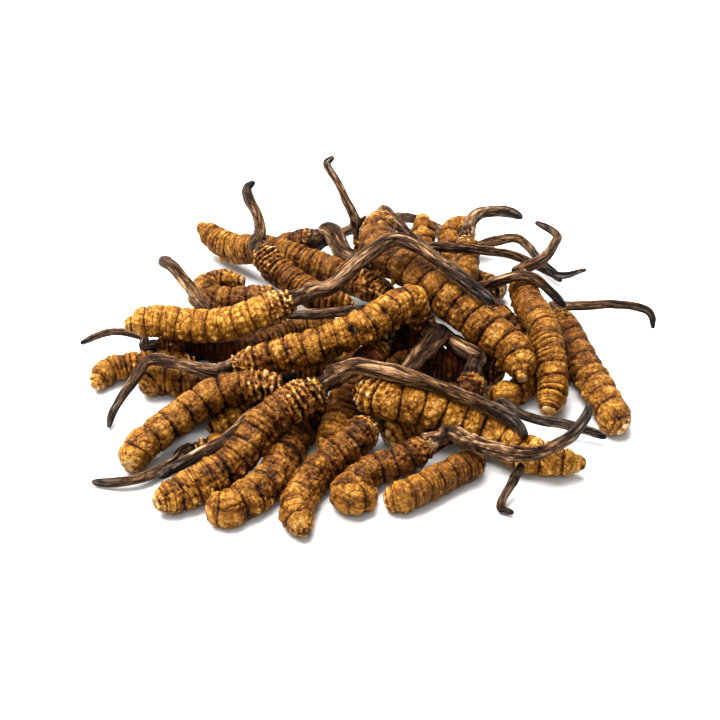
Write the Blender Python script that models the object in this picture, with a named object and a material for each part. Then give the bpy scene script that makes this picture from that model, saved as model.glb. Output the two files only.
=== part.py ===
"""Cordyceps bundle: a loose heap of dried larvae, each with the dark stalk that grew from its head.

The heap lies on the plane z = 0. X runs across it, Y runs from its front to its back, in metres.
Each piece is a tapered tube along a smooth curve through a few route points chosen by hand.
The routes only say roughly how the pieces are laid: clear_neighbours then nudges them apart
until every pair keeps its gap, and down or up until nothing is below the plane.
"""

import math

import bpy
import numpy as np

MM = 0.001
HEAP_NAME = "cordyceps_bundle"

# Driving dimensions in millimetres.
GAP = 0.45
SAMPLE_STEP = 1.6
LARVA_RING_STEP = 3.4
STALK_RING_STEP = 3.2
TUBE_SIDES_RESOLUTION = 2

# The neck: this many samples of a stalk and of its own larva may meet, and the stalk leaves the
# head straight for a short way.
NECK_SAMPLES = 3
NECK_LENGTH = 2.0

# Nudging: passes, share of each overlap undone per pass, and pull back to the chosen route.
PASSES = 500
PUSH = 0.45
PULL_BACK = 0.01

LARVA_COLOUR = (0.42, 0.22, 0.06, 1.0)
STALK_COLOUR = (0.05, 0.035, 0.03, 1.0)

# One line for each larva: name, girth, and its route from tail to head, in millimetres.
LARVAE = [
    ("larva_top_left", 6.4, [(-47, 8, 9), (-41, 8, 10), (-30, 6, 10), (-22, 5, 13), (-13, 7, 16)]),
    ("larva_top_middle", 6.8, [(13, 5, 14), (9, 4, 17), (1, -3, 16), (-10, -6, 13), (-24, -7, 9)]),
    ("larva_top_right", 7.2,
     [(32, -9, 7), (31, -3, 9), (20, 5, 14), (12, 13, 17), (5, 24, 17), (4, 36, 16)]),
    ("larva_front_arch", 6.8, [(-38, -41, 3), (-32, -39, 3), (-23, -33, 5), (-16, -24, 8), (-8, -18, 12)]),
    ("larva_front_ridge", 6.8,
     [(42, -30, 3), (32, -28, 4), (23, -25, 5), (13, -21, 8), (4, -20, 10), (0, -16, 11)]),
    ("larva_front_curl", 6.0,
     [(4, -38, 2), (1, -41, 3), (-4, -38, 3), (-1, -31, 3), (8, -30, 4), (15, -27, 6)]),
    ("larva_front_short", 5.8, [(4, -40, 2), (9, -39, 3), (17, -33, 3), (23, -28, 3)]),
    ("larva_front_centre", 6.4, [(-10, -49, 2), (-12, -44, 3), (-9, -35, 3), (-3, -26, 4), (0, -19, 4)]),
    ("larva_under_ridge", 6.2, [(2, -22, 3), (8, -20, 3), (15, -17, 3), (23, -14, 3)]),
    ("larva_middle_steep", 6.2, [(-8, -25, 3), (-5, -18, 4), (-1, -11, 7), (3, -3, 10)]),
    ("larva_front_left", 6.4, [(-29, -40, 3), (-24, -43, 3), (-16, -36, 3), (-11, -24, 3), (-7, -10, 4)]),
    ("larva_left_long", 6.6, [(-43, -31, 2), (-42, -27, 4), (-35, -20, 6), (-26, -15, 7), (-16, -15, 7)]),
    ("larva_left_under", 5.0, [(-42, -21, 2), (-35, -14, 3), (-26, -10, 3), (-22, -8, 3)]),
    ("larva_left_thin", 4.4, [(-14, -17, 2), (-19, -17, 2), (-25, -20, 2), (-31, -24, 2)]),
    ("larva_left_hidden", 5.4, [(-29, -18, 2), (-24, -16, 3), (-17, -10, 3), (-13, -8, 3)]),
    ("larva_back_left", 6.2, [(-35, 51, 6), (-28, 44, 5), (-19, 38, 5), (-8, 31, 6), (5, 20, 9)]),
    ("larva_back_banded", 6.2, [(-2, 17, 8), (-8, 18, 9), (-12, 21, 9), (-18, 28, 10), (-20, 31, 11)]),
    ("larva_left_dark", 6.4, [(-3, 16, 3), (-13, 14, 3), (-24, 8, 3), (-35, 8, 3), (-38, 8, 3)]),
    ("larva_left_edge", 5.0, [(-53, -3, 2), (-50, 1, 3), (-42, 4, 3), (-34, 2, 3)]),
    ("larva_left_low", 6.4, [(-43, -5, 2), (-40, -2, 3), (-31, -4, 3), (-20, -5, 3)]),
    ("larva_back_small", 5.4, [(-14, 31, 3), (-17, 38, 3), (-17, 44, 4), (-13, 44, 6), (-9, 42, 8)]),
    ("larva_hooked_tail", 5.8, [(-25, 29, 6), (-31, 30, 5), (-33, 25, 5), (-27, 21, 6), (-18, 21, 8)]),
    ("larva_back_upright", 4.4, [(10, 20, 3), (6, 28, 3), (2, 35, 5), (0, 37, 12)]),
    ("larva_back_right", 5.2, [(14, 53, 7), (15, 46, 6), (15, 39, 5), (20, 32, 7)]),
    ("larva_back_bent", 5.8, [(24, 53, 6), (19, 48, 6), (19, 42, 5), (22, 35, 3), (30, 30, 3)]),
    ("larva_right_upright", 5.2, [(20, 15, 9), (22, 24, 11), (23, 32, 9), (23, 38, 9)]),
    ("larva_right_under", 5.0, [(10, 30, 4), (17, 27, 5), (24, 22, 6), (30, 15, 5), (32, 12, 3)]),
    ("larva_middle_gold", 5.8, [(-9, 4, 7), (-3, 7, 8), (5, 9, 9), (11, 8, 10), (14, 5, 10)]),
    ("larva_middle_low", 6.0,
     [(-2, -6, 3), (4, -10, 3), (11, -11, 3), (18, -10, 3), (22, -8, 4), (23, -5, 5)]),
    ("larva_middle_shade", 6.4, [(4, 0, 3), (12, 3, 3), (20, 2, 3), (28, 0, 3)]),
    ("larva_right_tail", 5.4, [(25, -6, 2), (30, -7, 3), (34, -2, 3), (35, 5, 3), (35, 10, 3)]),
    ("larva_right_long", 6.4, [(37, -13, 3), (37, -7, 6), (36, 3, 9), (35, 17, 9), (34, 23, 9)]),
    ("larva_right_edge", 6.4, [(51, -18, 2), (49, -14, 3), (44, 7, 3), (41, 18, 3)]),
    ("larva_middle_brown", 5.8, [(-12, -6, 7), (-5, -4, 6), (0, 1, 4), (6, 7, 3), (12, 12, 3)]),
]

# One line for each stalk: name, base and tip thickness, and its route from base to tip, in millimetres.
# A stalk grows from the head of the larva with the same name after the underscore, if there is one.
STALKS = [
    ("stalk_top_left", 4.2, 2.4,
     [(-12, 8, 16), (-6, 9, 18), (2, 13, 23), (8, 15, 25), (16, 10, 23), (26, 3, 18)]),
    ("stalk_top_middle", 3.8, 1.6,
     [(-26, -7, 9), (-33, -7, 9), (-41, -4, 9), (-44, -7, 7), (-48, -12, 3), (-49, -15, 1)]),
    ("stalk_top_right", 3.4, 1.4,
     [(5, 38, 17), (9, 32, 15), (17, 27, 12), (31, 31, 8), (42, 33, 5), (48, 35, 5)]),
    ("stalk_top_right_twin", 3.4, 1.4, [(2, 39, 15), (-2, 45, 9), (-7, 50, 4), (-16, 50, 3), (-20, 49, 3)]),
    ("stalk_front_arch", 5.2, 2.0,
     [(-6, -17, 13), (1, -17, 14), (12, -20, 14), (23, -22, 11), (29, -25, 9), (31, -28, 8)]),
    ("stalk_front_curl", 4.4, 2.2,
     [(16, -26, 7), (22, -31, 7), (31, -34, 8), (38, -31, 9), (42, -28, 12), (43, -27, 14)]),
    ("stalk_front_curl_branch", 2.2, 1.4, [(30, -34, 6), (28, -37, 3), (26, -40, 1), (28, -42, 1)]),
    ("stalk_under_ridge", 3.4, 1.8, [(25, -12, 3), (28, -12, 4), (33, -17, 4), (41, -18, 3), (47, -20, 2)]),
    ("stalk_middle_steep", 3.2, 2.2, [(5, 0, 10), (6, 2, 11), (4, 5, 12)]),
    ("stalk_left_crossing", 3.2, 2.2, [(-14, -11, 3), (-20, -18, 4), (-27, -28, 5), (-36, -38, 5)]),
    ("stalk_left_thin", 3.0, 1.6, [(-32, -25, 2), (-36, -29, 2), (-43, -33, 2), (-50, -33, 1)]),
    ("stalk_back_left", 2.8, 2.2, [(7, 18, 9), (6, 14, 9), (-3, 13, 9), (-9, 12, 9), (-16, 12, 9)]),
    ("stalk_back_banded", 4.0, 2.0,
     [(-21, 33, 12), (-21, 37, 15), (-23, 40, 18), (-24, 43, 20), (-23, 44, 21)]),
    ("stalk_left_dark", 2.6, 1.4, [(-40, 9, 3), (-44, 11, 4), (-51, 13, 4), (-57, 12, 2)]),
    ("stalk_left_leaning", 3.4, 2.0,
     [(-30, 15, 4), (-31, 16, 6), (-35, 20, 10), (-39, 24, 13), (-41, 26, 13), (-40, 28, 12)]),
    ("stalk_left_low", 3.2, 2.2, [(-18, -4, 3), (-13, -2, 4), (-7, 0, 4)]),
    ("stalk_back_small", 3.6, 2.4, [(-8, 43, 9), (-3, 36, 9), (1, 30, 9)]),
    ("stalk_back_upright", 3.2, 1.4,
     [(0, 38, 13), (-1, 40, 16), (-3, 41, 19), (-5, 44, 22), (-7, 47, 24), (-6, 48, 25)]),
    ("stalk_back_loose", 2.6, 1.8,
     [(6, 47, 9), (10, 55, 6), (17, 57, 2), (23, 49, 2), (29, 48, 4), (35, 49, 4), (39, 42, 3), (43, 36, 2)]),
    ("stalk_back_right", 2.8, 1.8,
     [(20, 29, 6), (25, 24, 10), (29, 20, 12), (34, 19, 13), (39, 18, 9), (42, 18, 7)]),
    ("stalk_right_upright", 4.0, 2.2, [(23, 40, 11), (25, 46, 12), (31, 51, 10), (35, 52, 8)]),
    ("stalk_right_under", 2.4, 1.8, [(33, 9, 2), (38, 6, 2), (40, 4, 2), (42, 0, 1)]),
    ("stalk_middle_gold", 4.8, 3.2, [(14, 4, 10), (13, 1, 9), (10, -4, 7), (7, -9, 4)]),
    ("stalk_middle_low", 3.8, 2.6, [(22, -4, 6), (20, 0, 7), (15, 10, 6)]),
    ("stalk_right_long", 4.0, 1.4, [(34, 26, 9), (38, 29, 11), (41, 34, 12), (42, 38, 12), (38, 41, 13)]),
    ("stalk_right_edge", 3.0, 1.4, [(41, 22, 4), (47, 21, 5), (54, 20, 6), (60, 19, 5), (61, 18, 2)]),
]


def clear_scene():
    for thing in list(bpy.data.objects):
        bpy.data.objects.remove(thing)


def curve_weights(point_count, places):
    """Catmull-Rom weights: each row mixes the route points into one place of the curve."""
    weights = np.zeros((len(places), point_count))
    last = point_count - 1
    for row, place in enumerate(places):
        start = min(int(place), last - 1)
        f = place - start
        mix = (
            (-f + 2 * f**2 - f**3) / 2,
            (2 - 5 * f**2 + 3 * f**3) / 2,
            (f + 4 * f**2 - 3 * f**3) / 2,
            (-(f**2) + f**3) / 2,
        )
        for index, share in zip(range(start - 1, start + 3), mix):
            if index < 0:
                weights[row, 0] += 2 * share
                weights[row, 1] -= share
            elif index > last:
                weights[row, last] += 2 * share
                weights[row, last - 1] -= share
            else:
                weights[row, index] += share
    return weights


def route_length(route):
    return float(np.linalg.norm(np.diff(route, axis=0), axis=1).sum())


def larva_radius(girth, t):
    """Half the girth, rounded down to a blunt tail at t = 0 and to the head at t = 1."""
    tail = np.clip(t / 0.30, 0, 1)
    head = np.clip((1 - t) / 0.18, 0, 1)
    tail_share = 0.44 + 0.56 * np.sqrt(1 - (1 - tail) ** 2)
    head_share = 0.66 + 0.34 * np.sqrt(1 - (1 - head) ** 2)
    return girth / 2 * tail_share * head_share


def stalk_radius(base, tip, t):
    """A narrow neck, a short flare above it, then an even taper to the tip."""
    neck = 0.66 + 0.34 * np.clip(t / 0.07, 0, 1)
    return neck * (tip + (base - tip) * (0.6 * (1 - t) + 0.4 * np.exp(-t / 0.10))) / 2


def make_pieces():
    """Every piece as a name, its route, its radius as a function of t, its ring spacing and its colour."""
    pieces = []
    for name, girth, route in LARVAE:
        radius = lambda t, girth=girth: larva_radius(girth, t)
        pieces.append((name, np.array(route, float), radius, LARVA_RING_STEP, LARVA_COLOUR))
    for name, base, tip, route in STALKS:
        radius = lambda t, base=base, tip=tip: stalk_radius(base, tip, t)
        pieces.append((name, np.array(route, float), radius, STALK_RING_STEP, STALK_COLOUR))
    return pieces


def parents(pieces):
    """For each stalk that grows from a larva in the heap: the stalk's place in the list, and the larva's."""
    places = {name: place for place, (name, *rest) in enumerate(pieces)}
    pairs = []
    for name, place in places.items():
        larva = name.replace("stalk_", "larva_")
        if name.startswith("stalk_") and larva in places:
            pairs.append((place, places[larva]))
    return pairs


def clear_neighbours(pieces, joined):
    """Nudge the routes apart until the tubes clear each other and the plane, and return the new routes.

    Each tube is sampled as a row of balls. Balls of two tubes that are nearer than their radii and
    the gap push their own routes apart, the plane pushes up, and each route is drawn weakly back
    to where it was laid. While they are joined, a stalk's base and its larva's head are held together.
    """
    rows = []
    for name, route, radius, step, colour in pieces:
        count = max(8, int(route_length(route) / SAMPLE_STEP))
        t = np.linspace(0, 1, count)
        rows.append((curve_weights(len(route), t * (len(route) - 1)), radius(t)))
    ball_starts = np.cumsum([0] + [len(w) for w, r in rows])
    point_starts = np.cumsum([0] + [w.shape[1] for w, r in rows])
    weights = np.zeros((ball_starts[-1], point_starts[-1]))
    for k, (w, r) in enumerate(rows):
        weights[ball_starts[k]:ball_starts[k + 1], point_starts[k]:point_starts[k + 1]] = w
    owner = np.repeat(np.arange(len(rows)), np.diff(ball_starts))
    radii = np.concatenate([r for w, r in rows])
    meeting = np.zeros((len(radii), len(radii)), bool)
    for stalk, larva in parents(pieces):
        base = slice(ball_starts[stalk], ball_starts[stalk] + NECK_SAMPLES)
        head = slice(ball_starts[larva + 1] - NECK_SAMPLES, ball_starts[larva + 1])
        meeting[base, head] = True
        meeting[head, base] = True
    may_push = (owner[:, None] != owner[None]) & ~meeting
    laid = np.concatenate([route for name, route, radius, step, colour in pieces])
    points = laid.copy()
    share = np.maximum(weights, 0)
    share = share / np.maximum(share.sum(axis=0), 1e-6)
    reach = 2 * radii.max() + GAP + 2.0
    for step_number in range(PASSES):
        balls = weights @ points
        if step_number % 10 == 0:
            apart = np.linalg.norm(balls[:, None] - balls[None], axis=2)
            first, second = np.nonzero(np.triu((apart < reach) & may_push, 1))
        offset = balls[first] - balls[second]
        distance = np.maximum(np.linalg.norm(offset, axis=1), 1e-6)
        overlap = np.maximum(0, radii[first] + radii[second] + GAP - distance)
        push = (overlap / distance)[:, None] * offset
        move = np.zeros_like(balls)
        touched = np.full(len(balls), 1e-6)
        np.add.at(move, first, push)
        np.add.at(move, second, -push)
        np.add.at(touched, first, overlap > 0)
        np.add.at(touched, second, overlap > 0)
        move = move / np.maximum(touched, 1)[:, None]
        move[:, 2] += np.maximum(0, radii - balls[:, 2])
        nudge = share.T @ move
        hit = share.T @ (np.linalg.norm(move, axis=1) > 0)
        points += PUSH * nudge / np.maximum(hit, 0.15)[:, None]
        fade = 1 - step_number / PASSES
        points += PULL_BACK * fade * (laid - points)
        for stalk, larva in parents(pieces) if joined else []:
            base = point_starts[stalk]
            head = point_starts[larva + 1] - 1
            points[[base, head]] = (points[base] + points[head]) / 2
    return np.split(points, point_starts[1:-1])


def add_necks(pieces, routes):
    """Start each stalk a gap away from its larva's head, along the way that the head points."""
    for stalk, larva in parents(pieces):
        ahead = routes[larva][-1] - routes[larva][-2]
        ahead /= np.linalg.norm(ahead)
        base = routes[larva][-1] + ahead * GAP
        routes[stalk] = np.vstack([base, base + ahead * NECK_LENGTH, routes[stalk][1:]])


def make_material(name, colour):
    material = bpy.data.materials.new(name)
    material.use_nodes = True
    shader = material.node_tree.nodes["Principled BSDF"]
    shader.inputs["Base Color"].default_value = colour
    shader.inputs["Roughness"].default_value = 0.6
    shader.inputs["Metallic"].default_value = 0.0
    return material


def make_tube(name, route, radius, ring_step, colour, collection):
    """A closed tapered tube along the smooth curve through the route."""
    count = max(5, math.ceil(route_length(route) / ring_step) + 1)
    t = np.linspace(0, 1, count)
    line = curve_weights(len(route), t * (len(route) - 1)) @ route
    data = bpy.data.curves.new(name, "CURVE")
    data.dimensions = "3D"
    data.bevel_depth = MM
    data.bevel_resolution = TUBE_SIDES_RESOLUTION
    data.use_fill_caps = True
    data.twist_mode = "MINIMUM"
    spline = data.splines.new("POLY")
    spline.points.add(count - 1)
    for point, place, thickness in zip(spline.points, line, radius(t)):
        point.co = (*(place * MM), 1.0)
        point.radius = thickness
    data.materials.append(make_material(name, colour))
    tube = bpy.data.objects.new(name, data)
    collection.objects.link(tube)


def stand_at_origin(tubes):
    """Move the whole heap so that its box is centred over the origin and stands on z = 0."""
    bpy.context.view_layer.update()
    corners = np.array([tube.bound_box for tube in tubes]).reshape(-1, 3)
    low = corners.min(axis=0)
    high = corners.max(axis=0)
    shift = (-(low[0] + high[0]) / 2, -(low[1] + high[1]) / 2, -low[2])
    for tube in tubes:
        tube.location = shift


clear_scene()
heap = bpy.data.collections.new(HEAP_NAME)
bpy.context.scene.collection.children.link(heap)
pieces = make_pieces()
cleared = clear_neighbours(pieces, joined=True)
add_necks(pieces, cleared)
pieces = [(name, route, *rest) for (name, laid, *rest), route in zip(pieces, cleared)]
cleared = clear_neighbours(pieces, joined=False)
for (name, laid, radius, step, colour), clear_route in zip(pieces, cleared):
    make_tube(name, clear_route, radius, step, colour, heap)
stand_at_origin(list(heap.objects))
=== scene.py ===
"""Cordyceps bundle: a loose heap of dried larvae and the dark stalks that grew from their heads."""

import math

import bpy
import numpy as np
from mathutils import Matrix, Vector


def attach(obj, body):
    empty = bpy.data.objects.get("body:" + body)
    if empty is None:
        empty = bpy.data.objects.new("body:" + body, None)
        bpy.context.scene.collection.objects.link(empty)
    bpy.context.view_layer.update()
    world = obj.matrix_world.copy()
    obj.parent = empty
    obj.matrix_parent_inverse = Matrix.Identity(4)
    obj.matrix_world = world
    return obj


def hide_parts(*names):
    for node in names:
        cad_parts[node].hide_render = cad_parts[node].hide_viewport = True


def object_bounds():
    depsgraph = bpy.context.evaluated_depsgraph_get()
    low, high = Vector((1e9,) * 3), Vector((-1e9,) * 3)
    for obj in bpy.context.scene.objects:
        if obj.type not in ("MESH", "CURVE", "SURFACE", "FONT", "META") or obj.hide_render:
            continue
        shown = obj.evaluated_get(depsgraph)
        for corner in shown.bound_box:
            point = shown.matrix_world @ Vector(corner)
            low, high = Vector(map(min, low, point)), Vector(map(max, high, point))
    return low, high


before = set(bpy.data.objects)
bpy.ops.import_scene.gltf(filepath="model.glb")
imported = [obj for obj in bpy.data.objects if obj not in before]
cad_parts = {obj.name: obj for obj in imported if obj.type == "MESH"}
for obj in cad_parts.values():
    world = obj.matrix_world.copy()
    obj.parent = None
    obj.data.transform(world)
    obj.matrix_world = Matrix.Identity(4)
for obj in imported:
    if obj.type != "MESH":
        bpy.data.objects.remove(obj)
cad_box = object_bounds()

# ------------------------------------------------------------------ larvae
# Each larva is the mummified body of a ghost-moth grub, dried hard and filled with fungus.
# Its skin keeps the rings of about a dozen segments, each folded again into two to four
# narrower rings, and it shrank lengthwise into small creases. Short legs stand along the belly.

MM = 0.001
TUBE_SIDES = 8
# How far off a cap's plane, in mm, a vertex still counts as on it.
FLAT_WITHIN = 0.02


def tube_rings(node):
    """Ring centres and radii, in mm, of the plain tube that stands for a piece, from thin end to thick end.

    An end cap is the face whose plane holds TUBE_SIDES vertices most nearly on a circle. The mesh
    is walked out from it, so that the vertices at walking distance k are the tube's ring k.
    """
    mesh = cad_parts[node].data
    places = np.zeros(len(mesh.vertices) * 3)
    mesh.vertices.foreach_get("co", places)
    corners, index = np.unique((places.reshape(-1, 3) / MM).round(3), axis=0, return_inverse=True)
    faces = np.zeros(len(mesh.loops), int)
    mesh.loops.foreach_get("vertex_index", faces)
    faces = index.reshape(-1)[faces].reshape(-1, 3)
    a, b, c = corners[faces[:, 0]], corners[faces[:, 1]], corners[faces[:, 2]]
    normals = np.cross(b - a, c - a)
    normals /= np.maximum(np.linalg.norm(normals, axis=1), 1e-9)[:, None]
    on_plane = np.abs(normals @ corners.T - (normals * a).sum(axis=1)[:, None]) < FLAT_WITHIN
    least_spread = np.inf
    for held in on_plane[on_plane.sum(axis=1) == TUBE_SIDES]:
        reach = np.linalg.norm(corners[held] - corners[held].mean(axis=0), axis=1)
        if reach.std() / reach.mean() < least_spread:
            least_spread, cap = reach.std() / reach.mean(), held
    links = np.zeros((len(corners), len(corners)), bool)
    for one, other in ((0, 1), (1, 2), (2, 0)):
        links[faces[:, one], faces[:, other]] = True
    links |= links.T
    ring = reached = cap
    centres, radii = [], []
    while ring.any():
        middle = corners[ring].mean(axis=0)
        centres.append(middle)
        radii.append(np.linalg.norm(corners[ring] - middle, axis=1).mean())
        ring = links[ring].any(axis=0) & ~reached
        reached = reached | ring
    centres, radii = np.array(centres), np.array(radii)
    third = max(2, len(radii) // 3)
    if radii[:third].mean() > radii[-third:].mean():
        centres, radii = centres[::-1], radii[::-1]
    return centres, radii


def smooth(values, places):
    """Catmull-Rom curve through rows of values, read at places from 0 to the last row, ends mirrored."""
    values = np.asarray(values, float)
    rows = np.concatenate([[2 * values[0] - values[1]], values, [2 * values[-1] - values[-2]]])
    start = np.minimum(places.astype(int), len(values) - 2)
    f = (places - start).reshape(-1, *[1] * (values.ndim - 1))
    p0, p1, p2, p3 = (rows[start + k] for k in range(4))
    return (2 * p1 + (p2 - p0) * f + (2 * p0 - 5 * p1 + 4 * p2 - p3) * f**2
            + (3 * p1 - p0 - 3 * p2 + p3) * f**3) / 2


def distance_along(line):
    """Distance in mm from a line's first row to each of its rows."""
    return np.concatenate([[0], np.cumsum(np.linalg.norm(np.diff(line, axis=0), axis=1))])


def rows_along(centres, radii, spacing):
    """The tube's middle line and radius at an even spacing, in mm, read from smooth curves."""
    fine = np.linspace(0, len(centres) - 1, 400)
    run = distance_along(smooth(centres, fine))
    count = max(12, int(run[-1] / spacing))
    places = np.interp(np.linspace(0, run[-1], count), run, fine)
    return smooth(centres, places), smooth(radii, places)


def with_round_ends(line, radii, dome_rows, dome_depth):
    """Rows added past both ends so that the tube closes in quarter ellipses, dome_depth radii deep."""
    turn = np.linspace(np.pi / 2, 0, dome_rows + 1)[:-1]
    out_tail = line[0] - line[1]
    out_head = line[-1] - line[-2]
    out_tail /= np.linalg.norm(out_tail)
    out_head /= np.linalg.norm(out_head)
    deep = np.sin(turn)[:, None] * dome_depth
    tail = line[0] + out_tail * deep * radii[0]
    head = (line[-1] + out_head * deep * radii[-1])[::-1]
    share = np.maximum(np.cos(turn), 0.04)
    return (
        np.vstack([tail, line, head]),
        np.concatenate([radii[0] * share, radii, radii[-1] * share[::-1]]),
    )


def lattice_noise(around, along, cell, cells_around, rng):
    """Smooth noise from 0 to 1 on a surface: random values on a lattice that closes on itself round a tube.

    around runs from 0 to 1 once round the tube, along is in mm and so is the cell's length. Between
    lattice points the values are mixed with weights 3f^2 - 2f^3, f being the place in the cell.
    """
    u = around * cells_around
    v = along / cell + 1
    rows = int(np.ceil(v.max())) + 3
    table = rng.random((rows, cells_around))
    iu, iv = np.floor(u).astype(int), np.floor(v).astype(int)
    fu, fv = u - iu, v - iv
    fu, fv = fu**2 * (3 - 2 * fu), fv**2 * (3 - 2 * fv)
    left, right = iu % cells_around, (iu + 1) % cells_around
    low = table[iv, left] * (1 - fu) + table[iv, right] * fu
    high = table[iv + 1, left] * (1 - fu) + table[iv + 1, right] * fu
    return low * (1 - fv) + high * fv


def carry_frames(line):
    """Tangent, side and up at each row of a line: the up direction is carried along without twisting."""
    tangent = np.gradient(line, axis=0)
    tangent /= np.linalg.norm(tangent, axis=1)[:, None]
    up = np.zeros_like(line)
    carried = np.array([0.0, 0.0, 1.0]) if abs(tangent[0, 2]) < 0.8 else np.array([0.0, 1.0, 0.0])
    for row, ahead in enumerate(tangent):
        carried = carried - ahead * (carried @ ahead)
        carried /= np.linalg.norm(carried)
        up[row] = carried
    return tangent, np.cross(tangent, up), up


def closed_tube(name, vertices, rows, columns):
    """A mesh of quads between loops of vertices, closed by a fan on each of the last two vertices."""
    grid = np.arange(rows * columns).reshape(rows, columns)
    beside = np.roll(grid, -1, axis=1)
    quads = np.stack([grid[:-1], grid[1:], beside[1:], beside[:-1]], axis=-1).reshape(-1, 4)
    first, last = rows * columns, rows * columns + 1
    fans = np.vstack([
        np.stack([np.full(columns, first), grid[0], beside[0]], axis=-1),
        np.stack([np.full(columns, last), beside[-1], grid[-1]], axis=-1),
    ])
    mesh = bpy.data.meshes.new(name)
    mesh.vertices.add(len(vertices))
    mesh.vertices.foreach_set("co", vertices.ravel())
    mesh.loops.add(quads.size + fans.size)
    mesh.loops.foreach_set("vertex_index", np.concatenate([quads.ravel(), fans.ravel()]))
    mesh.polygons.add(len(quads) + len(fans))
    quad_starts = np.arange(len(quads)) * 4
    fan_starts = quads.size + np.arange(len(fans)) * 3
    mesh.polygons.foreach_set("loop_start", np.concatenate([quad_starts, fan_starts]))
    mesh.update(calc_edges=True)
    mesh.validate()
    mesh.shade_smooth()
    return mesh


# Height in mm below which a skin is squeezed, so that it rests flat on the floor.
REST_DEPTH = 0.4


def sweep(name, line, heights, attributes, material, roll=0.0):
    """A closed skin: at each row of the line, a loop whose distance from the line is given for each angle.

    heights is rows by columns, in mm. Both ends close on one vertex. Each attribute is a
    rows by columns grid that the material reads by name. One more, "straight", holds in mm the
    place each vertex would have if the piece were a straight tube, so that grain can run along it.
    Where a vertex's height z is below d = REST_DEPTH, it becomes d exp((z - d) / d).
    """
    rows, columns = heights.shape
    angle = np.linspace(0, 2 * np.pi, columns, endpoint=False) + roll
    tangent, side, up = carry_frames(line)
    ring = np.cos(angle)[None, :, None] * up[:, None] + np.sin(angle)[None, :, None] * side[:, None]
    skin = line[:, None] + heights[:, :, None] * ring
    vertices = np.vstack([skin.reshape(-1, 3), skin[0].mean(axis=0), skin[-1].mean(axis=0)])
    low = np.minimum(vertices[:, 2], REST_DEPTH)
    vertices[:, 2] += REST_DEPTH * np.exp((low - REST_DEPTH) / REST_DEPTH) - low
    mesh = closed_tube(name, vertices * MM, rows, columns)
    for label, values in attributes.items():
        layer = mesh.attributes.new(label, "FLOAT", "POINT")
        values = np.broadcast_to(values, (rows, columns))
        ends = [values[0].mean(), values[-1].mean()]
        layer.data.foreach_set("value", np.concatenate([values.ravel(), ends]).astype(np.float32))
    run = distance_along(line)
    girth = heights.mean(axis=1)
    spread = np.maximum(girth, 0.3 * girth.max())[:, None]
    depth = np.broadcast_to(run[:, None], heights.shape)
    straight = np.stack([spread * np.cos(angle), spread * np.sin(angle), depth], axis=-1)
    straight = np.vstack([straight.reshape(-1, 3), [0, 0, 0], [0, 0, run[-1]]])
    layer = mesh.attributes.new("straight", "FLOAT_VECTOR", "POINT")
    layer.data.foreach_set("vector", straight.ravel().astype(np.float32))
    mesh.materials.append(material)
    piece = bpy.data.objects.new(name, mesh)
    bpy.context.scene.collection.objects.link(piece)
    return piece


def linear(hex_colour):
    """An sRGB hex colour as linear red, green, blue and alpha."""
    parts = [int(hex_colour[k:k + 2], 16) / 255 for k in (1, 3, 5)]
    return (*[c / 12.92 if c <= 0.04045 else ((c + 0.055) / 1.055) ** 2.4 for c in parts], 1.0)


def add_node(tree, kind, settings=None, inputs=None):
    """Adds one shader node. A pair in inputs is a link from (node, output), anything else a value."""
    node = tree.nodes.new(kind)
    for label, value in (settings or {}).items():
        setattr(node, label, value)
    for label, value in (inputs or {}).items():
        if isinstance(value, tuple) and isinstance(value[0], bpy.types.Node):
            tree.links.new(value[0].outputs[value[1]], node.inputs[label])
        else:
            node.inputs[label].default_value = value
    return node


def set_ramp(node, stops):
    """Gives a colour ramp its stops, as pairs of place and hex colour."""
    band = node.color_ramp
    while len(band.elements) < len(stops):
        band.elements.new(0.5)
    for element, (place, colour) in zip(band.elements, stops):
        element.position = place
        element.color = linear(colour)


def line_mask(tree, value, width):
    """1 on a thin line where a value passes zero, falling to 0 at width from it."""
    size = add_node(tree, "ShaderNodeMath", {"operation": "ABSOLUTE"}, {0: value})
    return add_node(tree, "ShaderNodeMapRange", {"interpolation_type": "SMOOTHSTEP"}, {
        "Value": (size, 0), "From Min": 0.0, "From Max": width, "To Min": 1.0, "To Max": 0.0})


def repeat_mask(tree, count, width):
    """A thin line at each whole number of a count, width being half the line as a share of one repeat."""
    away = add_node(tree, "ShaderNodeMath", {"operation": "PINGPONG"}, {0: count, 1: 0.5})
    return line_mask(tree, (away, 0), width)


def cell_edges(tree, place, warp_scale, warp_strength, cells_per_mm, width):
    """Thin lines along the edges of cells whose places, in mm, a noise has bent."""
    warp = add_node(tree, "ShaderNodeTexNoise", inputs={"Vector": place, "Scale": warp_scale})
    warped = add_node(tree, "ShaderNodeMix", {"data_type": "RGBA", "blend_type": "LINEAR_LIGHT"}, {
        0: warp_strength, 6: place, 7: (warp, "Color")})
    cells = add_node(tree, "ShaderNodeTexVoronoi", {"feature": "DISTANCE_TO_EDGE"}, {
        "Vector": (warped, 2), "Scale": cells_per_mm, "Randomness": 1.0})
    return line_mask(tree, (cells, "Distance"), width)


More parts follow.
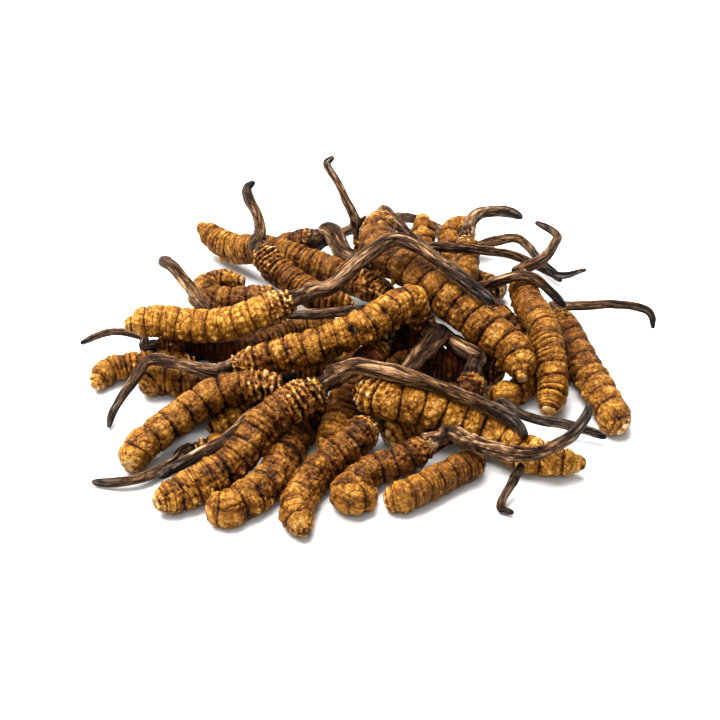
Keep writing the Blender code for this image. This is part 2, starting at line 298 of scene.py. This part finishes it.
def larva_skin():
    """Dried chitin over fungus: waxy ochre where raised, with painted highlight pale gold on the highest
    skin, red-brown where darkened, and near black in creases as painted shade.
    """
    material = bpy.data.materials.new("dried_larva_skin")
    material.use_nodes = True
    tree = material.node_tree
    shader = tree.nodes["Principled BSDF"]
    where = add_node(tree, "ShaderNodeTexCoord")
    names = ("relief", "head", "tone", "segments", "rings", "ringed", "wrinkles", "straight")
    read = {name: add_node(tree, "ShaderNodeAttribute", {"attribute_name": name}) for name in names}
    # crisp lines: furrows between segments, rings where the skin is ringed, and winding wrinkles
    furrows = repeat_mask(tree, (read["segments"], "Fac"), 0.036)
    rings = repeat_mask(tree, (read["rings"], "Fac"), 0.10)
    some_rings = add_node(tree, "ShaderNodeMath", {"operation": "MULTIPLY"}, {
        0: (rings, 0), 1: (read["ringed"], "Fac")})
    off_middle = add_node(tree, "ShaderNodeMath", {"operation": "SUBTRACT"}, {
        0: (read["wrinkles"], "Fac"), 1: 0.5})
    winding = line_mask(tree, (off_middle, 0), 0.045)
    some_winding = add_node(tree, "ShaderNodeMath", {"operation": "MULTIPLY"}, {0: (winding, 0), 1: 0.4})
    # crackle: the edges of cells about 1.2 mm across, as on dried mud, weaker where the skin is ringed
    crackle = cell_edges(tree, (read["straight"], "Vector"), 0.9, 0.6, 0.85, 0.09)
    crackled = add_node(tree, "ShaderNodeMath", {"operation": "MULTIPLY_ADD"}, {
        0: (read["ringed"], "Fac"), 1: -0.45, 2: 0.65})
    some_crackle = add_node(tree, "ShaderNodeMath", {"operation": "MULTIPLY"}, {
        0: (crackle, 0), 1: (crackled, 0)})
    lines = furrows
    for more in (some_rings, some_winding, some_crackle):
        lines = add_node(tree, "ShaderNodeMath", {"operation": "MAXIMUM"}, {0: (lines, 0), 1: (more, 0)})
    # fine rings: noise in millimetres, squeezed so that its cells lie around the body
    squeezed = add_node(tree, "ShaderNodeMapping", inputs={
        "Vector": (read["straight"], "Vector"), "Scale": (0.45, 0.45, 1.5)})
    fine_rings = add_node(tree, "ShaderNodeTexNoise", inputs={
        "Vector": (squeezed, 0), "Scale": 1.0, "Detail": 4.0, "Roughness": 0.62, "Distortion": 0.4})
    grain = add_node(tree, "ShaderNodeTexNoise", inputs={
        "Vector": (where, "Object"), "Scale": 1 / (0.8 * MM), "Detail": 5.0, "Roughness": 0.7})
    # ochre by height: the surface's relief, the fine rings and the grain add up to a place on the ramp,
    # whose near-black low end is painted shade in the creases and whose pale gold top end is painted
    # highlight on the raised skin
    both = add_node(tree, "ShaderNodeMath", {"operation": "MULTIPLY_ADD"}, {
        0: (fine_rings, "Fac"), 1: 0.45, 2: (read["relief"], "Fac")})
    shifted = add_node(tree, "ShaderNodeMath", {"operation": "MULTIPLY_ADD"}, {
        0: (grain, "Fac"), 1: 0.8, 2: (both, 0)})
    lowered = add_node(tree, "ShaderNodeMath", {"operation": "SUBTRACT"}, {0: (shifted, 0), 1: 0.625})
    ochre = add_node(tree, "ShaderNodeValToRGB", inputs={"Fac": (lowered, 0)})
    set_ramp(ochre, [
        (0.12, "#120702"), (0.26, "#4a2a0a"), (0.42, "#8b5c1c"), (0.62, "#ba8836"), (0.92, "#e2b76e")])
    # red-brown blotches, a darker tone on some larvae and towards each head, partly painted shade on the
    # larvae deep in the heap, and dark specks
    blotch = add_node(tree, "ShaderNodeTexNoise", inputs={
        "Vector": (where, "Object"), "Scale": 1 / (2.4 * MM), "Detail": 4.0, "Roughness": 0.6})
    blotch_edge = add_node(tree, "ShaderNodeMapRange", inputs={
        "Value": (blotch, "Fac"), "From Min": 0.54, "From Max": 0.68, "To Min": 0.0, "To Max": 0.7})
    stained = add_node(tree, "ShaderNodeMix", {"data_type": "RGBA", "blend_type": "MULTIPLY"}, {
        0: (blotch_edge, 0), 6: (ochre, "Color"), 7: linear("#9a6240")})
    toned_and_shaded = add_node(tree, "ShaderNodeMix", {"data_type": "RGBA", "blend_type": "MULTIPLY"}, {
        0: (read["tone"], "Fac"), 6: (stained, 2), 7: linear("#7c5834")})
    specks = add_node(tree, "ShaderNodeTexVoronoi", {"feature": "F1"}, {
        "Vector": (where, "Object"), "Scale": 1 / (1.3 * MM), "Randomness": 1.0})
    speck_edge = add_node(tree, "ShaderNodeMapRange", inputs={
        "Value": (specks, "Distance"), "From Min": 0.10, "From Max": 0.20, "To Min": 0.7, "To Max": 0.0})
    specked = add_node(tree, "ShaderNodeMix", {"data_type": "RGBA"}, {
        0: (speck_edge, 0), 6: (toned_and_shaded, 2), 7: linear("#3a1c0a")})
    # the head's crust: near black in its gaps as painted shade, amber, then cream on its high flakes, the
    # cream partly the crust's own colour and partly painted highlight
    flakes = add_node(tree, "ShaderNodeTexNoise", inputs={
        "Vector": (where, "Object"), "Scale": 1 / (0.8 * MM), "Detail": 3.0, "Roughness": 0.6})
    crust_height = add_node(tree, "ShaderNodeMath", {"operation": "MULTIPLY_ADD"}, {
        0: (flakes, "Fac"), 1: 0.9, 2: (read["relief"], "Fac")})
    crust_level = add_node(tree, "ShaderNodeMath", {"operation": "SUBTRACT"}, {
        0: (crust_height, 0), 1: 0.45})
    crust = add_node(tree, "ShaderNodeValToRGB", inputs={"Fac": (crust_level, 0)})
    set_ramp(crust, [
        (0.16, "#100502"), (0.36, "#50280a"), (0.54, "#946222"), (0.74, "#c69c58"), (0.96, "#eee0c2")])
    crusted = add_node(tree, "ShaderNodeMix", {"data_type": "RGBA"}, {
        0: (read["head"], "Fac"), 6: (specked, 2), 7: (crust, "Color")})
    # painted shade: the furrow, ring, wrinkle and crackle lines darken the colour, standing in for the shade
    # in these creases
    crease_shade_strength = add_node(tree, "ShaderNodeMath", {"operation": "MULTIPLY"}, {0: (lines, 0), 1: 0.85})
    crease_shaded = add_node(tree, "ShaderNodeMix", {"data_type": "RGBA", "blend_type": "MULTIPLY"}, {
        0: (crease_shade_strength, 0), 6: (crusted, 2), 7: linear("#5e3008")})
    # a waxy sheen that the grain breaks up, a little wetter on the head
    gloss = add_node(tree, "ShaderNodeMapRange", inputs={
        "Value": (grain, "Fac"), "From Min": 0.3, "From Max": 0.7, "To Min": 0.24, "To Max": 0.58})
    wet = add_node(tree, "ShaderNodeMath", {"operation": "MULTIPLY_ADD"}, {
        0: (read["head"], "Fac"), 1: -0.08, 2: (gloss, 0)})
    line_bump = add_node(tree, "ShaderNodeBump", {"invert": True}, {
        "Height": (lines, 0), "Distance": 0.22 * MM, "Strength": 1.0})
    ring_bump = add_node(tree, "ShaderNodeBump", inputs={
        "Height": (fine_rings, "Fac"), "Distance": 0.5 * MM, "Strength": 1.0, "Normal": (line_bump, 0)})
    pores = add_node(tree, "ShaderNodeTexNoise", inputs={
        "Vector": (where, "Object"), "Scale": 1 / (0.6 * MM), "Detail": 4.0, "Roughness": 0.65})
    bump = add_node(tree, "ShaderNodeBump", inputs={
        "Height": (pores, "Fac"), "Distance": 0.55 * MM, "Strength": 1.0, "Normal": (ring_bump, 0)})
    tree.links.new(crease_shaded.outputs[2], shader.inputs["Base Color"])
    tree.links.new(wet.outputs[0], shader.inputs["Roughness"])
    tree.links.new(bump.outputs[0], shader.inputs["Normal"])
    shader.inputs["IOR"].default_value = 1.45
    shader.inputs["Specular IOR Level"].default_value = 0.34
    return material


def hump(distance, width):
    """A bell curve: 1 where the distance is 0 and 1/e where it equals the width."""
    return np.exp(-((distance / width) ** 2))


def notch(count, repeat, half_width):
    """1 in a narrow notch at each whole number of a count whose repeat and notch are given in mm."""
    part = count - np.floor(count)
    return hump(np.minimum(part, 1 - part) * repeat, half_width)


# How deep the creases are cut and how high lumps and grit stand, in mm.
FURROW_DEPTH = 0.34
RING_DEPTH = 0.50
WRINKLE_DEPTH = 0.24
FINE_WRINKLE_DEPTH = 0.16
LUMP_HEIGHT = 0.50
GRIT_HEIGHT = 0.14
# Legs, then side warts: place round the body, width in mm, and height as a share of a leg's.
LEG_ROWS = ((0.38, 0.46, 1.0), (0.62, 0.46, 1.0), (0.26, 0.36, 0.5), (0.74, 0.36, 0.5))


def larva_relief(around, along, length, girth, style, leg, head_start, rng):
    """Skin height in mm over the tube, and the values that the skin's material reads.

    around runs from 0 to 1 round the body, and along in mm from the tail to the head.
    Segments: a furrow at each whole number of segments, and between them a swelling that goes
    as the sine, to the power 0.6, of the place in the segment. Rings: lesser furrows that fade
    in and out, as strong as the style says. Wrinkles: creases where a noise passes its middle,
    in cells of about 1.7 mm and 1.1 mm, over soft lumps of 2 mm. Legs and side warts: a bell
    curve less a ring around it, one in each segment at set places round the body. Tail: ripples
    that fade from the blunt end, and five creases that meet at its middle. Head: ripples and
    lumps of crust in place of most of the folds.
    """
    segment, swelling, ring, ringed, wrinkled = style
    wave = lattice_noise(around, along, 4, 5, rng) - 0.5
    tilt = 0.04 * np.sin(2 * np.pi * around + rng.random() * 6)
    count = along / segment + 0.20 * wave + tilt + rng.random()
    part = count - np.floor(count)
    ring_count = along / ring + 0.9 * (lattice_noise(around, along, 3, 5, rng) - 0.5)
    strength = ringed * np.clip(lattice_noise(around, along, 2.6, 5, rng) * 2.2 - 0.35, 0, 1)
    around_cells = int(2 * np.pi * girth / 1.25)
    wide = lattice_noise(around, along, 1.7, around_cells, rng)
    narrow = lattice_noise(around, along, 1.1, int(around_cells * 1.6), rng)
    lumps = lattice_noise(around, along, 2.1, int(around_cells * 0.7), rng) - 0.5
    grit = lattice_noise(around, along, 0.5, around_cells * 3, rng) - 0.5
    form = swelling * (np.sin(np.pi * part) ** 0.6 - 0.7)
    form = form + LUMP_HEIGHT * wrinkled * lumps + GRIT_HEIGHT * grit
    cuts = (
        FURROW_DEPTH * notch(count, segment, 0.22)
        + RING_DEPTH * ringed * notch(ring_count, ring, 0.19) * strength
        + WRINKLE_DEPTH * wrinkled * hump(wide - 0.5, 0.08)
        + FINE_WRINKLE_DEPTH * wrinkled * hump(narrow - 0.5, 0.09)
    )

    short_of_head = np.clip((length - along) / (0.2 * length), 0, 1)
    past_tail = np.clip(along / (0.15 * length), 0, 1)
    for place, width, share in LEG_ROWS:
        middle = 0.5 + 0.12 * (rng.random() - 0.5)
        distance = np.hypot((around - place) * 2 * np.pi * girth, (part - middle) * segment)
        present = np.clip(lattice_noise(around * 0, along, segment, 4, rng) * 2.4 - 0.6, 0, 1)
        bump = hump(distance, width) - 0.4 * hump(distance - 0.95, 0.22)
        form += short_of_head * past_tail * share * leg * present * bump

    form += 0.22 * hump(along, 2.4) * np.sin(2 * np.pi * along / 0.95 + 2.5 * wave)
    form -= 0.3 * hump(along, 1.2) * np.abs(np.sin(5 * np.pi * around + 3 * wave)) ** 3

    head = np.clip((along - head_start * length) / (0.09 * length) + 0.8 * (wide - 0.5), 0, 1)
    bands = np.sin(2 * np.pi * (along / 1.25 + 0.9 * wave))
    bands = bands * np.clip(3 * lattice_noise(around, along, 1.2, 9, rng) - 0.7, 0, 1)
    broken = np.abs(2 * lattice_noise(around, along, 0.75, 17, rng) - 1)
    crust = head * (0.30 * bands + 0.58 * broken + 0.40 * grit - 0.27)
    folds_left = 1 - 0.6 * head
    # level is the height that the colour follows: lower in the cuts, which paints shade into them, and
    # higher on raised skin and crust, which paints highlight there
    level = 0.57 + 0.62 * (form - 0.65 * cuts) * folds_left + 0.62 * crust + 0.18 * hump(along, 1.8)
    return (form - cuts) * folds_left + crust, {
        "relief": np.clip(level, 0, 1),
        "head": np.maximum(head * 0.85, 0.55 * hump(along, 1.7)),
        "segments": count,
        "rings": ring_count,
        "ringed": strength * (1 - head),
        "wrinkles": wide,
    }


# Styles: segment length, swelling between furrows and ring length, all in mm, then how ringed and
# how wrinkled the skin is.
PLAIN_STYLE = (3.3, 0.18, 1.15, 0.7, 1.15)
BROAD_STYLE = (4.2, 0.32, 1.5, 0.3, 1.0)
RINGED_STYLE = (3.2, 0.12, 1.1, 1.0, 0.6)
FINE_STYLE = (3.2, 0.10, 0.95, 0.65, 0.5)
STYLES = {
    "larva_top_right": BROAD_STYLE, "larva_front_ridge": BROAD_STYLE, "larva_right_edge": BROAD_STYLE,
    "larva_right_tail": BROAD_STYLE, "larva_back_bent": BROAD_STYLE, "larva_left_long": BROAD_STYLE,
    "larva_back_left": RINGED_STYLE, "larva_back_banded": RINGED_STYLE, "larva_right_long": RINGED_STYLE,
    "larva_left_dark": RINGED_STYLE, "larva_left_edge": RINGED_STYLE, "larva_middle_low": RINGED_STYLE,
    "larva_right_upright": RINGED_STYLE, "larva_top_left": FINE_STYLE, "larva_front_short": FINE_STYLE,
}
# How far the ochre is darkened, from 0 to 1: most larvae low in the heap are darker, partly by their own
# tone and partly as painted shade from the heap above them.
TONE = 0.5
LARVA_TONES_AND_HEAP_SHADE = {
    "larva_top_left": 0.0, "larva_top_middle": 0.25, "larva_top_right": 0.55, "larva_front_ridge": 0.15,
    "larva_front_curl": 0.6, "larva_front_left": 0.6, "larva_right_tail": 0.2, "larva_left_thin": 0.2,
    "larva_left_dark": 0.8, "larva_left_low": 0.6, "larva_back_banded": 0.6, "larva_hooked_tail": 0.6,
    "larva_middle_brown": 0.95, "larva_middle_shade": 0.9, "larva_middle_low": 0.85,
    "larva_middle_gold": 0.7, "larva_back_small": 0.7, "larva_left_hidden": 0.4,
    "larva_middle_steep": 0.8, "larva_right_edge": 0.6, "larva_right_long": 0.4,
}
# Added to the relief that the colour follows, so that these are paler all over.
PALE_LARVAE = {"larva_top_left": 0.05, "larva_front_ridge": 0.03, "larva_right_edge": 0.02}
# Height of the legs in mm.
LEG = 0.45
LEGS = {"larva_top_right": 1.1, "larva_back_left": 0.8, "larva_top_middle": 0.7, "larva_left_low": 0.8}
# Where the head's crust starts, as a share of the length.
HEAD_START = 0.82
HEAD_STARTS = {
    "larva_back_banded": 0.62, "larva_front_arch": 0.73, "larva_left_long": 0.76, "larva_top_left": 0.78,
}
# Turn about the larva's own length, in radians. The others are turned at random, by up to 0.8.
LARVA_ROLLS = {
    "larva_top_right": 0.45, "larva_front_curl": -2.0, "larva_front_ridge": 0.6, "larva_left_low": 0.3,
}
# Share taken off the radius at the tail's end, fading over 2.6 mm. Below zero it makes the end blunter.
TAIL_SLIMMING = -0.15
TAIL_SLIMMINGS = {
    "larva_top_right": 0.15, "larva_top_left": 0.1, "larva_front_ridge": 0.1, "larva_back_left": 0.1,
    "larva_right_long": -0.35, "larva_under_ridge": -0.5, "larva_front_short": -0.5,
}
# Radius of the skin as a share of the plain tube's.
PLUMPNESS = 1.04
PLUMP_LARVAE = {
    "larva_middle_steep": 1.15, "larva_front_left": 1.1, "larva_under_ridge": 1.18,
    "larva_front_centre": 1.08, "larva_top_right": 1.08, "larva_right_under": 1.15, "larva_back_small": 1.15,
}
# Distances in mm between the skin's rows, along the larva, and its columns, round it.
LARVA_ROW_SPACING = 0.225
LARVA_COLUMN_SPACING = 0.27
larva_material = larva_skin()
head_places = {}

for number, node in enumerate(sorted(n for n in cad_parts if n.startswith("larva_"))):
    rng = np.random.default_rng(100 + number)
    line, thickness = rows_along(*tube_rings(node), LARVA_ROW_SPACING)
    head_places[node] = (line[-1], line[-1] - line[-6], thickness[-1])
    line, thickness = with_round_ends(line, thickness, dome_rows=8, dome_depth=0.55)
    run = distance_along(line)
    girth = thickness.max()
    columns = int(2 * np.pi * girth / LARVA_COLUMN_SPACING)
    around, along = np.meshgrid(np.arange(columns) / columns, run)
    height, looks = larva_relief(
        around, along, run[-1], girth, STYLES.get(node, PLAIN_STYLE), LEGS.get(node, LEG),
        HEAD_STARTS.get(node, HEAD_START), rng)
    looks["relief"] = looks["relief"] + PALE_LARVAE.get(node, 0.0)
    looks["tone"] = LARVA_TONES_AND_HEAP_SHADE.get(node, TONE) * (0.35 + 1.2 * along / run[-1])
    full = np.clip(thickness / girth, 0, 1)[:, None]
    # the tail's last 2 mm are a knob, set off by a slight neck, and the body's section is a little oval
    slimmed = 1 - TAIL_SLIMMINGS.get(node, TAIL_SLIMMING) * hump(run, 2.6)
    knobbed = 1 - 0.14 * hump(run - 2.3, 0.45)
    thickness = PLUMP_LARVAE.get(node, PLUMPNESS) * thickness * slimmed * knobbed
    oval = 1 + 0.045 * np.cos(4 * np.pi * around)
    reach = np.maximum(thickness[:, None] * oval + height * full**0.7, 0.02)
    roll = LARVA_ROLLS.get(node, rng.uniform(-0.8, 0.8))
    piece = sweep(node + "_skin", line, reach, looks, larva_material, roll)
    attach(piece, "root")
    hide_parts(node)

# ------------------------------------------------------------------ stalks
# Each stalk is the fungus's own fruiting body, a solid woody club that grew out of a larva's head.
# It dried hard, with lengthwise grooves like bark, a wide wrinkled base clasping the head, and
# a smoother slate-black tip.


def stalk_bark():
    """Dried fungus tissue: tan ridges over dark grooves at the base, through brown, to a slate-black tip;
    the grooves' near black is painted shade and the ridges' pale tan partly painted highlight.
    """
    material = bpy.data.materials.new("dried_fungus_stalk")
    material.use_nodes = True
    tree = material.node_tree
    shader = tree.nodes["Principled BSDF"]
    names = ("relief", "tip", "tone", "base", "straight")
    read = {name: add_node(tree, "ShaderNodeAttribute", {"attribute_name": name}) for name in names}
    # fibres: noise in millimetres, stretched so that its cells lie along the stalk
    stretched = add_node(tree, "ShaderNodeMapping", inputs={
        "Vector": (read["straight"], "Vector"), "Scale": (1.0, 1.0, 0.13)})
    fibres = add_node(tree, "ShaderNodeTexNoise", inputs={
        "Vector": (stretched, 0), "Scale": 2.4, "Detail": 6.0, "Roughness": 0.75, "Distortion": 0.5})
    patches = add_node(tree, "ShaderNodeTexNoise", inputs={
        "Vector": (stretched, 0), "Scale": 0.9, "Detail": 2.0})
    # the colour follows the bark's height and fibres: the ramps' near-black low ends paint shade into the
    # grooves, and their pale top ends partly paint highlight on the ridges
    mixed = add_node(tree, "ShaderNodeMath", {"operation": "MULTIPLY_ADD"}, {
        0: (fibres, "Fac"), 1: 2.2, 2: (read["relief"], "Fac")})
    lowered = add_node(tree, "ShaderNodeMath", {"operation": "SUBTRACT"}, {0: (mixed, 0), 1: 1.12})
    brown = add_node(tree, "ShaderNodeValToRGB", inputs={"Fac": (lowered, 0)})
    set_ramp(brown, [(0.14, "#100805"), (0.32, "#472f1a"), (0.52, "#7e5e3f"), (0.82, "#c9a680")])
    slate = add_node(tree, "ShaderNodeValToRGB", inputs={"Fac": (lowered, 0)})
    set_ramp(slate, [(0.18, "#0c0806"), (0.40, "#2e241e"), (0.60, "#574a41"), (0.90, "#9c8f83")])
    patch_edge = add_node(tree, "ShaderNodeMapRange", inputs={
        "Value": (patches, "Fac"), "From Min": 0.48, "From Max": 0.62, "To Min": 0.0, "To Max": 0.6})
    streaked = add_node(tree, "ShaderNodeMix", {"data_type": "RGBA", "blend_type": "MULTIPLY"}, {
        0: (patch_edge, 0), 6: (brown, "Color"), 7: linear("#7c5a3e")})
    # the slate shade takes over by the stalk's own tone and towards its tip, and the base is darker
    toned = add_node(tree, "ShaderNodeMix", {"data_type": "RGBA"}, {
        0: (read["tone"], "Fac"), 6: (streaked, 2), 7: (slate, "Color")})
    tipped = add_node(tree, "ShaderNodeMix", {"data_type": "RGBA"}, {
        0: (read["tip"], "Fac"), 6: (toned, 2), 7: (slate, "Color")})
    clasp = add_node(tree, "ShaderNodeMix", {"data_type": "RGBA", "blend_type": "MULTIPLY"}, {
        0: (read["base"], "Fac"), 6: (tipped, 2), 7: linear("#5f4635")})
    # cracks: the edges of cells about 1.2 mm across and 5 mm long, as where bark shrank apart
    splitting = add_node(tree, "ShaderNodeMapping", inputs={
        "Vector": (read["straight"], "Vector"), "Scale": (1.0, 1.0, 0.22)})
    cracks = cell_edges(tree, (splitting, 0), 1.0, 0.25, 0.85, 0.08)
    some_cracks = add_node(tree, "ShaderNodeMath", {"operation": "MULTIPLY"}, {0: (cracks, 0), 1: 0.5})
    cracked = add_node(tree, "ShaderNodeMix", {"data_type": "RGBA", "blend_type": "MULTIPLY"}, {
        0: (some_cracks, 0), 6: (clasp, 2), 7: linear("#543e2e")})
    crack_bump = add_node(tree, "ShaderNodeBump", {"invert": True}, {
        "Height": (cracks, 0), "Distance": 0.25 * MM, "Strength": 1.0})
    bump = add_node(tree, "ShaderNodeBump", inputs={
        "Height": (fibres, "Fac"), "Distance": 0.8 * MM, "Strength": 1.0, "Normal": (crack_bump, 0)})
    tree.links.new(cracked.outputs[2], shader.inputs["Base Color"])
    tree.links.new(bump.outputs[0], shader.inputs["Normal"])
    shader.inputs["Roughness"].default_value = 0.45
    shader.inputs["IOR"].default_value = 1.45
    shader.inputs["Specular IOR Level"].default_value = 0.3
    return material


def bark_relief(around, twisted, along, share, thickness, pitted, rng):
    """Bark height in mm over the stalk, its knots as a share of the radius, and 1 at its base falling to 0.

    Grooves: a noise of 8 cells round, each 9 mm long, folded so that a groove runs where it passes
    its middle. Fibres: a finer noise, 17 cells round. Both follow the stalk's twist and are weaker
    where it is thin. Pits: a noise of 0.65 mm on the first part of a pitted stalk. Base: wrinkles
    of 0.8 mm that fade out over the first 4 mm or so.
    """
    grooves = np.abs(2 * lattice_noise(twisted, along, 9, 8, rng) - 1)
    fibres = lattice_noise(twisted, along, 4, 17, rng)
    knots = 0.22 * (lattice_noise(around, along, 2.4, 4, rng) - 0.5)
    base = hump(along, 3.8)
    wrinkles = lattice_noise(around, along, 0.8, 9, rng) - 0.5
    pits = 0.0
    if pitted:
        first_part = np.clip((0.62 - share) / 0.1, 0, 1)
        pits = 0.4 * (lattice_noise(around, along, 0.65, 14, rng) - 0.5) * first_part
    bark = (0.55 * (grooves - 0.4) + 0.34 * (fibres - 0.5)) * np.clip(thickness / 2, 0.5, 1.1)[:, None]
    return bark + pits + 1.1 * base * wrinkles, knots, base


# How far the brown gives way to slate, from 0 to 1, before the tip.
STALK_TONE = 0.12
STALK_TONES = {
    "stalk_under_ridge": 0.85, "stalk_right_under": 0.9, "stalk_top_middle": 0.25, "stalk_front_arch": 0.0,
    "stalk_front_curl": 0.1, "stalk_front_curl_branch": 0.5, "stalk_left_dark": 0.5,
    "stalk_back_left": 0.3, "stalk_right_long": 0.1, "stalk_top_right": 0.3, "stalk_right_edge": 0.3,
    "stalk_left_thin": 0.1,
}
# Radius as a share of the plain tube's, on the stalks that are stouter than theirs.
STOUT_STALKS = {
    "stalk_back_small": 1.5, "stalk_middle_low": 1.35, "stalk_middle_gold": 1.1, "stalk_left_low": 1.3,
}
PITTED_STALKS = ("stalk_front_curl", "stalk_back_left")
# Most stalks are darkest where they clasp the head. On these that shade is weaker.
PALE_CLASPS = ("stalk_right_long", "stalk_right_upright", "stalk_top_middle", "stalk_front_curl")
PALE_CLASP = 0.15
# How deep in its larva's head a stalk starts, and the distances between its rows and columns, in mm.
CLASP_DEPTH = 0.9
STALK_ROW_SPACING = 0.32
STALK_COLUMN_SPACING = 0.19
stalk_material = stalk_bark()

for number, node in enumerate(sorted(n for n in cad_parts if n.startswith("stalk_"))):
    rng = np.random.default_rng(500 + number)
    centres, radii = tube_rings(node)
    centres, radii = centres[::-1], radii[::-1]
    clasp = 0.0
    larva = node.replace("stalk", "larva")
    if larva in head_places:
        # the stalk starts inside its larva's head and is as wide there as the head
        head_end, outward, head_radius = head_places[larva]
        centres = np.vstack([head_end - outward / np.linalg.norm(outward) * CLASP_DEPTH, centres])
        radii = np.concatenate([radii[:1], radii])
        clasp = 1.04 * head_radius + 0.1 - radii[1]
    line, thickness = rows_along(centres, radii, STALK_ROW_SPACING)
    line, thickness = with_round_ends(line, thickness, dome_rows=6, dome_depth=0.8)
    run = distance_along(line)
    columns = int(2 * np.pi * thickness.max() / STALK_COLUMN_SPACING)
    around, along = np.meshgrid(np.arange(columns) / columns, run)
    share = along / run[-1]
    twisted = (around + 0.25 * rng.uniform(-1, 1) * share) % 1
    relief, knots, base = bark_relief(around, twisted, along, share, thickness, node in PITTED_STALKS, rng)
    full = np.clip(thickness / thickness.max(), 0, 1)[:, None]
    thickness = thickness * STOUT_STALKS.get(node, 1.0)
    reach = thickness[:, None] * (1 + knots + 0.06 * np.cos(4 * np.pi * twisted))
    reach = (reach + clasp * base * full) * (1 - 0.4 * hump(run[-1] - along, 1.6))
    piece = sweep(node + "_bark", line, np.maximum(reach + relief * full, 0.02), {
        "relief": np.clip(0.5 + relief * 0.95, 0, 1),
        "tip": np.clip((share - 0.70) / 0.2, 0, 1),
        "tone": np.array([[STALK_TONES.get(node, STALK_TONE)]]),
        "base": base * (PALE_CLASP if node in PALE_CLASPS else 1.0),
    }, stalk_material)
    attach(piece, "root")
    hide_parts(node)

# ------------------------------------------------------------------ floor, light and camera
# The heap lies on a white studio table. A large soft light stands above and behind it, a weaker
# one stands in front, and white light comes from all round.
scene = bpy.context.scene
scene.view_settings.view_transform = "Standard"
scene.view_settings.look = "High Contrast"

bpy.ops.mesh.primitive_plane_add(size=6, location=(0, 0, 0))
floor = bpy.context.object
floor.name = "studio_floor"
floor_material = bpy.data.materials.new("white_table")
floor_material.use_nodes = True
floor_shader = floor_material.node_tree.nodes["Principled BSDF"]
floor_shader.inputs["Base Color"].default_value = (0.66, 0.66, 0.66, 1.0)
floor_shader.inputs["Roughness"].default_value = 0.9
floor_shader.inputs["Specular IOR Level"].default_value = 0.1
floor.data.materials.append(floor_material)

world = bpy.data.worlds.new("studio")
scene.world = world
world.use_nodes = True
world.node_tree.nodes["Background"].inputs["Color"].default_value = (1.0, 1.0, 1.0, 1.0)
world.node_tree.nodes["Background"].inputs["Strength"].default_value = 0.32


def add_light(name, place, size, watts):
    """A square soft light at a place, in metres, turned to face the middle of the floor."""
    lamp = bpy.data.lights.new(name, "AREA")
    lamp.size = size
    lamp.energy = watts
    holder = bpy.data.objects.new(name, lamp)
    holder.location = place
    holder.rotation_euler = (-Vector(place)).to_track_quat("-Z", "Y").to_euler()
    scene.collection.objects.link(holder)


add_light("key", (-0.22, 0.20, 0.75), size=0.85, watts=21.5)
add_light("front_fill", (-0.1, -0.7, 0.6), size=0.6, watts=3.0)

# The camera looks along +Y and down, at a point just left of the heap's middle and in front of it.
CAMERA_ELEVATION = math.radians(35)
CAMERA_DISTANCE = 0.42
LENS = 105
AIM_HEIGHT = 0.006
AIM_SHIFT = Vector((-0.0022, -0.0043, 0.0))
low, high = cad_box
target = Vector(((low[0] + high[0]) / 2, (low[1] + high[1]) / 2, AIM_HEIGHT)) + AIM_SHIFT
forward = Vector((0, math.cos(CAMERA_ELEVATION), -math.sin(CAMERA_ELEVATION)))
camera_data = bpy.data.cameras.new("camera")
camera_data.lens = LENS
camera = bpy.data.objects.new("camera", camera_data)
camera.location = target - forward * CAMERA_DISTANCE
camera.rotation_euler = forward.to_track_quat("-Z", "Y").to_euler()
scene.collection.objects.link(camera)
scene.camera = camera
